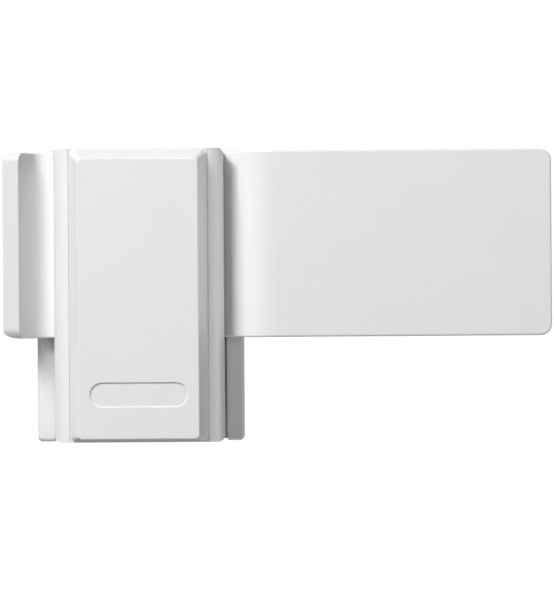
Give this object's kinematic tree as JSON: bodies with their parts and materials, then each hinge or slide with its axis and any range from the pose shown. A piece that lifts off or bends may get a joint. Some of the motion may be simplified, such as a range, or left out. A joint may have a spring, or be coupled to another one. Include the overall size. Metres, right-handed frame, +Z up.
{
  "type": "window swing-bolt guard",
  "caption": "Surface-mounted window guard: a bevelled housing and a broad bolt plate with a finger lip swing together on a base plate.",
  "frame": {"origin": "middle of the four frame screws, on the face that lies on the window frame", "axes": "+Z up along the housing, +X towards the wing's free end, -Y out of the window frame towards the room"},
  "size_m": [0.1293, 0.025, 0.0694],
  "materials": {
    "plate_coat": "satin white powder coat",
    "housing_coat": "satin white coat over a die casting",
    "base_coat": "satin white powder coat, slightly duller",
    "packer_plastic": "moulded, fine matt texture",
    "zinc_steel": "zinc plated, turned",
    "hard_steel": "hardened and ground",
    "spring_steel": "blued spring steel",
    "bronze": "sintered bronze, oily",
    "die_cast": "raw zinc die casting",
    "nylon": "natural nylon",
    "pad_rubber": "closed-cell rubber"
  },
  "bodies": {
    "base": {"packing_plate": "packer_plastic", "base_plate": "base_coat", "pivot_stud": "zinc_steel", "thrust_washer": "nylon", "friction_washer": "zinc_steel", "disc_spring": "spring_steel", "pivot_nut": "zinc_steel", "nut_locking_ring": "nylon", "stop_pin": "hard_steel", "detent_sockets": "hard_steel", "glide_pads": "nylon"},
    "swivel": {"swivel_plate": "plate_coat", "bearing_bush": "bronze", "carrier_block": "die_cast", "carrier_screws": "zinc_steel", "housing_cover": "housing_coat", "cover_clips": "spring_steel", "cover_screw": "zinc_steel", "detent_screw": "zinc_steel", "detent_spring": "spring_steel", "sash_pad": "pad_rubber"},
    "detent": {"detent_plunger": "hard_steel"}
  },
  "joints": [
    {"name": "swing", "type": "hinge", "parent": "base", "child": "swivel", "pos_m": [0, -0.01, 0.01195], "axis": [0, 1, 0], "range_deg": [0, 90]},
    {"name": "detent_slide", "type": "slide", "parent": "swivel", "child": "detent", "axis": [0, 1, 0], "range_m": [0, 0.003], "deforming": ["detent_spring"]}
  ]
}
